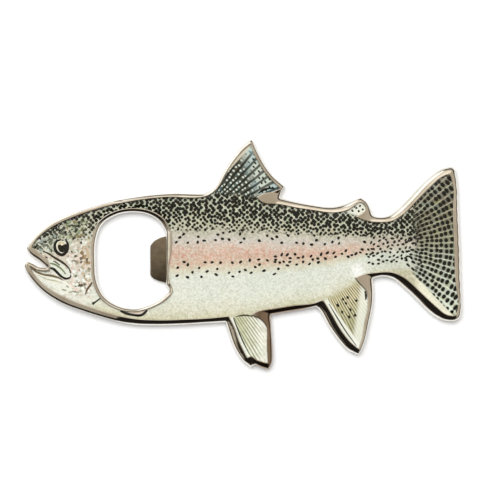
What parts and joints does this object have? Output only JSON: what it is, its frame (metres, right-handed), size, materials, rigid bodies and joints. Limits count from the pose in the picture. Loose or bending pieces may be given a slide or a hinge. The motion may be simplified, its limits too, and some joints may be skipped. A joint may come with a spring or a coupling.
{
  "type": "souvenir bottle opener",
  "caption": "Flat cast bottle opener in a trout's outline, with a printed picture under clear resin, a cap opening with a hook tooth behind the head, and magnets in the back.",
  "frame": {"origin": "middle of the plate's outline, on the flat back of the casting", "axes": "+X from the head to the tail, +Y from the belly to the dorsal fin, +Z out of the picture side"},
  "size_m": [0.1502, 0.0794, 0.0043],
  "materials": {
    "plated_metal": "polished warm grey plating on a zinc die casting",
    "adhesive": "thin translucent acrylic adhesive sheet",
    "printed_film": "plastic film printed in full colour with a trout",
    "clear_resin": "clear glossy doming resin",
    "magnet": "bright nickel plating",
    "glue": "set clear glue, slightly yellow"
  },
  "bodies": {
    "root": {"cast_body": "plated_metal", "label_adhesive": "adhesive", "printed_label": "printed_film", "clear_dome": "clear_resin", "magnet_front": "magnet", "magnet_rear": "magnet", "magnet_glue_front": "glue", "magnet_glue_rear": "glue"}
  },
  "joints": []
}
